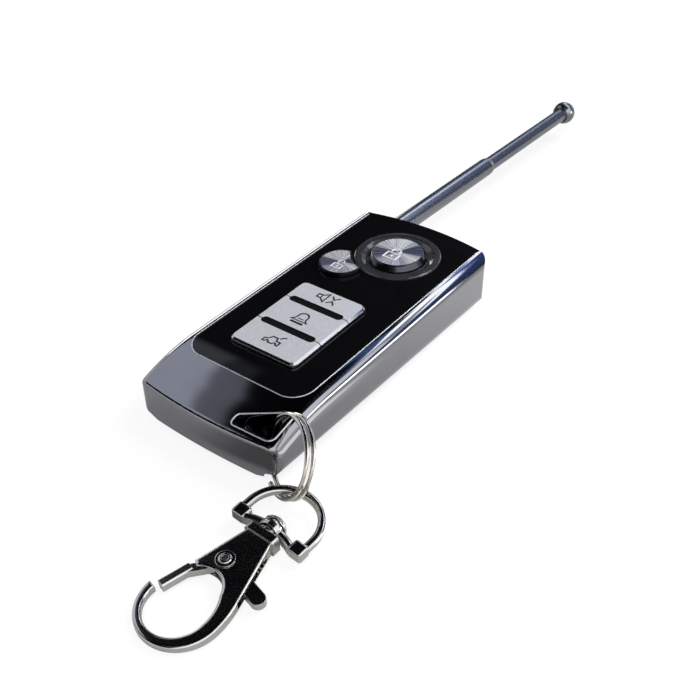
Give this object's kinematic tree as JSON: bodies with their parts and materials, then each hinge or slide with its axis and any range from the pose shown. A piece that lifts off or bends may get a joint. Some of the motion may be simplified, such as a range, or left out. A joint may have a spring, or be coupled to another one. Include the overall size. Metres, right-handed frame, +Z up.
{
  "type": "car alarm remote",
  "caption": "Pocket car alarm remote with press keys, a telescopic antenna, a split key ring and a swivel snap clasp.",
  "frame": {"origin": "centre of the flat land on the underside of the case, on which the remote lies", "axes": "+Z up through the keys, +Y along the antenna toward its tip, +X to the right seen from above with the antenna pointing away"},
  "size_m": [0.0569, 0.2322, 0.0168],
  "materials": {
    "body_chrome": "mirror",
    "cover_plastic": "matt black, fine texture",
    "panel_black": "piano black",
    "clear_smoke": "smoked clear plastic",
    "key_silver": "satin silver",
    "spun_steel": "spun",
    "mat_rubber": "matt",
    "board_green": "solder mask",
    "chip_black": "matt",
    "can_steel": "drawn",
    "coil_sleeve": "shrink sleeve",
    "light_clear": "clear",
    "part_ceramic": "fired",
    "cell_can": "plated",
    "contact_plate": "plated spring steel",
    "screw_steel": "zinc plated",
    "bush_brass": "turned",
    "antenna_chrome": "polished",
    "plug_plastic": "natural",
    "ring_nickel": "bright nickel",
    "clasp_nickel": "bright nickel",
    "spring_steel": "yellow passivated"
  },
  "bodies": {
    "remote": {"upper_case": "body_chrome", "rear_cover": "cover_plastic", "battery_door": "cover_plastic", "face_panel": "panel_black", "lens_ring": "clear_smoke", "keypad_mat": "mat_rubber", "circuit_board": "board_green", "tact_switches": "chip_black", "controller_chip": "chip_black", "crystal_can": "can_steel", "antenna_coil": "coil_sleeve", "status_light": "light_clear", "small_parts": "part_ceramic", "battery": "cell_can", "battery_contacts": "contact_plate", "battery_spring": "contact_plate", "case_screws": "screw_steel", "antenna_bush": "bush_brass", "antenna_base_tube": "antenna_chrome", "antenna_base_plug": "plug_plastic", "antenna_cradle": "plug_plastic"},
    "lock_key": {"lock_button": "body_chrome", "lock_disc": "spun_steel"},
    "unlock_key": {"unlock_button": "body_chrome", "unlock_disc": "spun_steel"},
    "boot_key": {"boot_key": "key_silver"},
    "bell_key": {"bell_key": "key_silver"},
    "mute_key": {"mute_key": "key_silver"},
    "antenna_middle": {"antenna_middle_tube": "antenna_chrome", "antenna_middle_sleeve": "contact_plate"},
    "antenna_tip": {"antenna_tip_tube": "antenna_chrome", "antenna_tip_sleeve": "contact_plate", "antenna_ball": "antenna_chrome"},
    "split_ring": {"key_ring": "ring_nickel"},
    "swivel_loop": {"swivel_ring": "clasp_nickel"},
    "hook": {"hook_body": "clasp_nickel", "swivel_pin": "clasp_nickel", "hook_rivet": "clasp_nickel", "gate_spring": "spring_steel"},
    "gate": {"hook_gate": "clasp_nickel"}
  },
  "joints": [
    {"name": "lock_press", "type": "slide", "parent": "remote", "child": "lock_key", "axis": [0, 0.0314, -0.9995], "range_m": [0, 0.0005], "stiffness_N_per_m": 1500, "springref_m": -0.0003},
    {"name": "unlock_press", "type": "slide", "parent": "remote", "child": "unlock_key", "axis": [0, 0.0314, -0.9995], "range_m": [0, 0.0005], "stiffness_N_per_m": 1500, "springref_m": -0.0003},
    {"name": "boot_press", "type": "slide", "parent": "remote", "child": "boot_key", "axis": [0, 0.0314, -0.9995], "range_m": [0, 0.0005], "stiffness_N_per_m": 1500, "springref_m": -0.0003},
    {"name": "bell_press", "type": "slide", "parent": "remote", "child": "bell_key", "axis": [0, 0.0314, -0.9995], "range_m": [0, 0.0005], "stiffness_N_per_m": 1500, "springref_m": -0.0003},
    {"name": "mute_press", "type": "slide", "parent": "remote", "child": "mute_key", "axis": [0, 0.0314, -0.9995], "range_m": [0, 0.0005], "stiffness_N_per_m": 1500, "springref_m": -0.0003},
    {"name": "antenna_middle_slide", "type": "slide", "parent": "remote", "child": "antenna_middle", "axis": [0, 1, 0], "range_m": [-0.05405, 0]},
    {"name": "antenna_tip_slide", "type": "slide", "parent": "antenna_middle", "child": "antenna_tip", "axis": [0, 1, 0], "range_m": [-0.04765, 0]},
    {"name": "key_ring_swing", "type": "hinge", "parent": "remote", "child": "split_ring", "pos_m": [0.01845, -0.035, 0.006], "axis": [0, 1, 0], "range_deg": [-5, 5]},
    {"name": "swivel_loop_swing", "type": "hinge", "parent": "split_ring", "child": "swivel_loop", "pos_m": [0.024, -0.0425, 0.0012], "axis": [0.9994, -0.0349, 0], "range_deg": [-15, 5]},
    {"name": "hook_swivel", "type": "hinge", "parent": "swivel_loop", "child": "hook", "pos_m": [0.0274, -0.0529, 0.00245], "axis": [0.0349, 0.998, 0.0523], "continuous": true},
    {"name": "gate_open", "type": "hinge", "parent": "hook", "child": "gate", "pos_m": [0.02591, -0.06259, 0.00194], "axis": [-0.0018, -0.0523, 0.9986], "range_deg": [0, 22], "stiffness_Nm_per_rad": 0.004, "springref_deg": -22.92, "deforming": ["gate_spring"]}
  ]
}
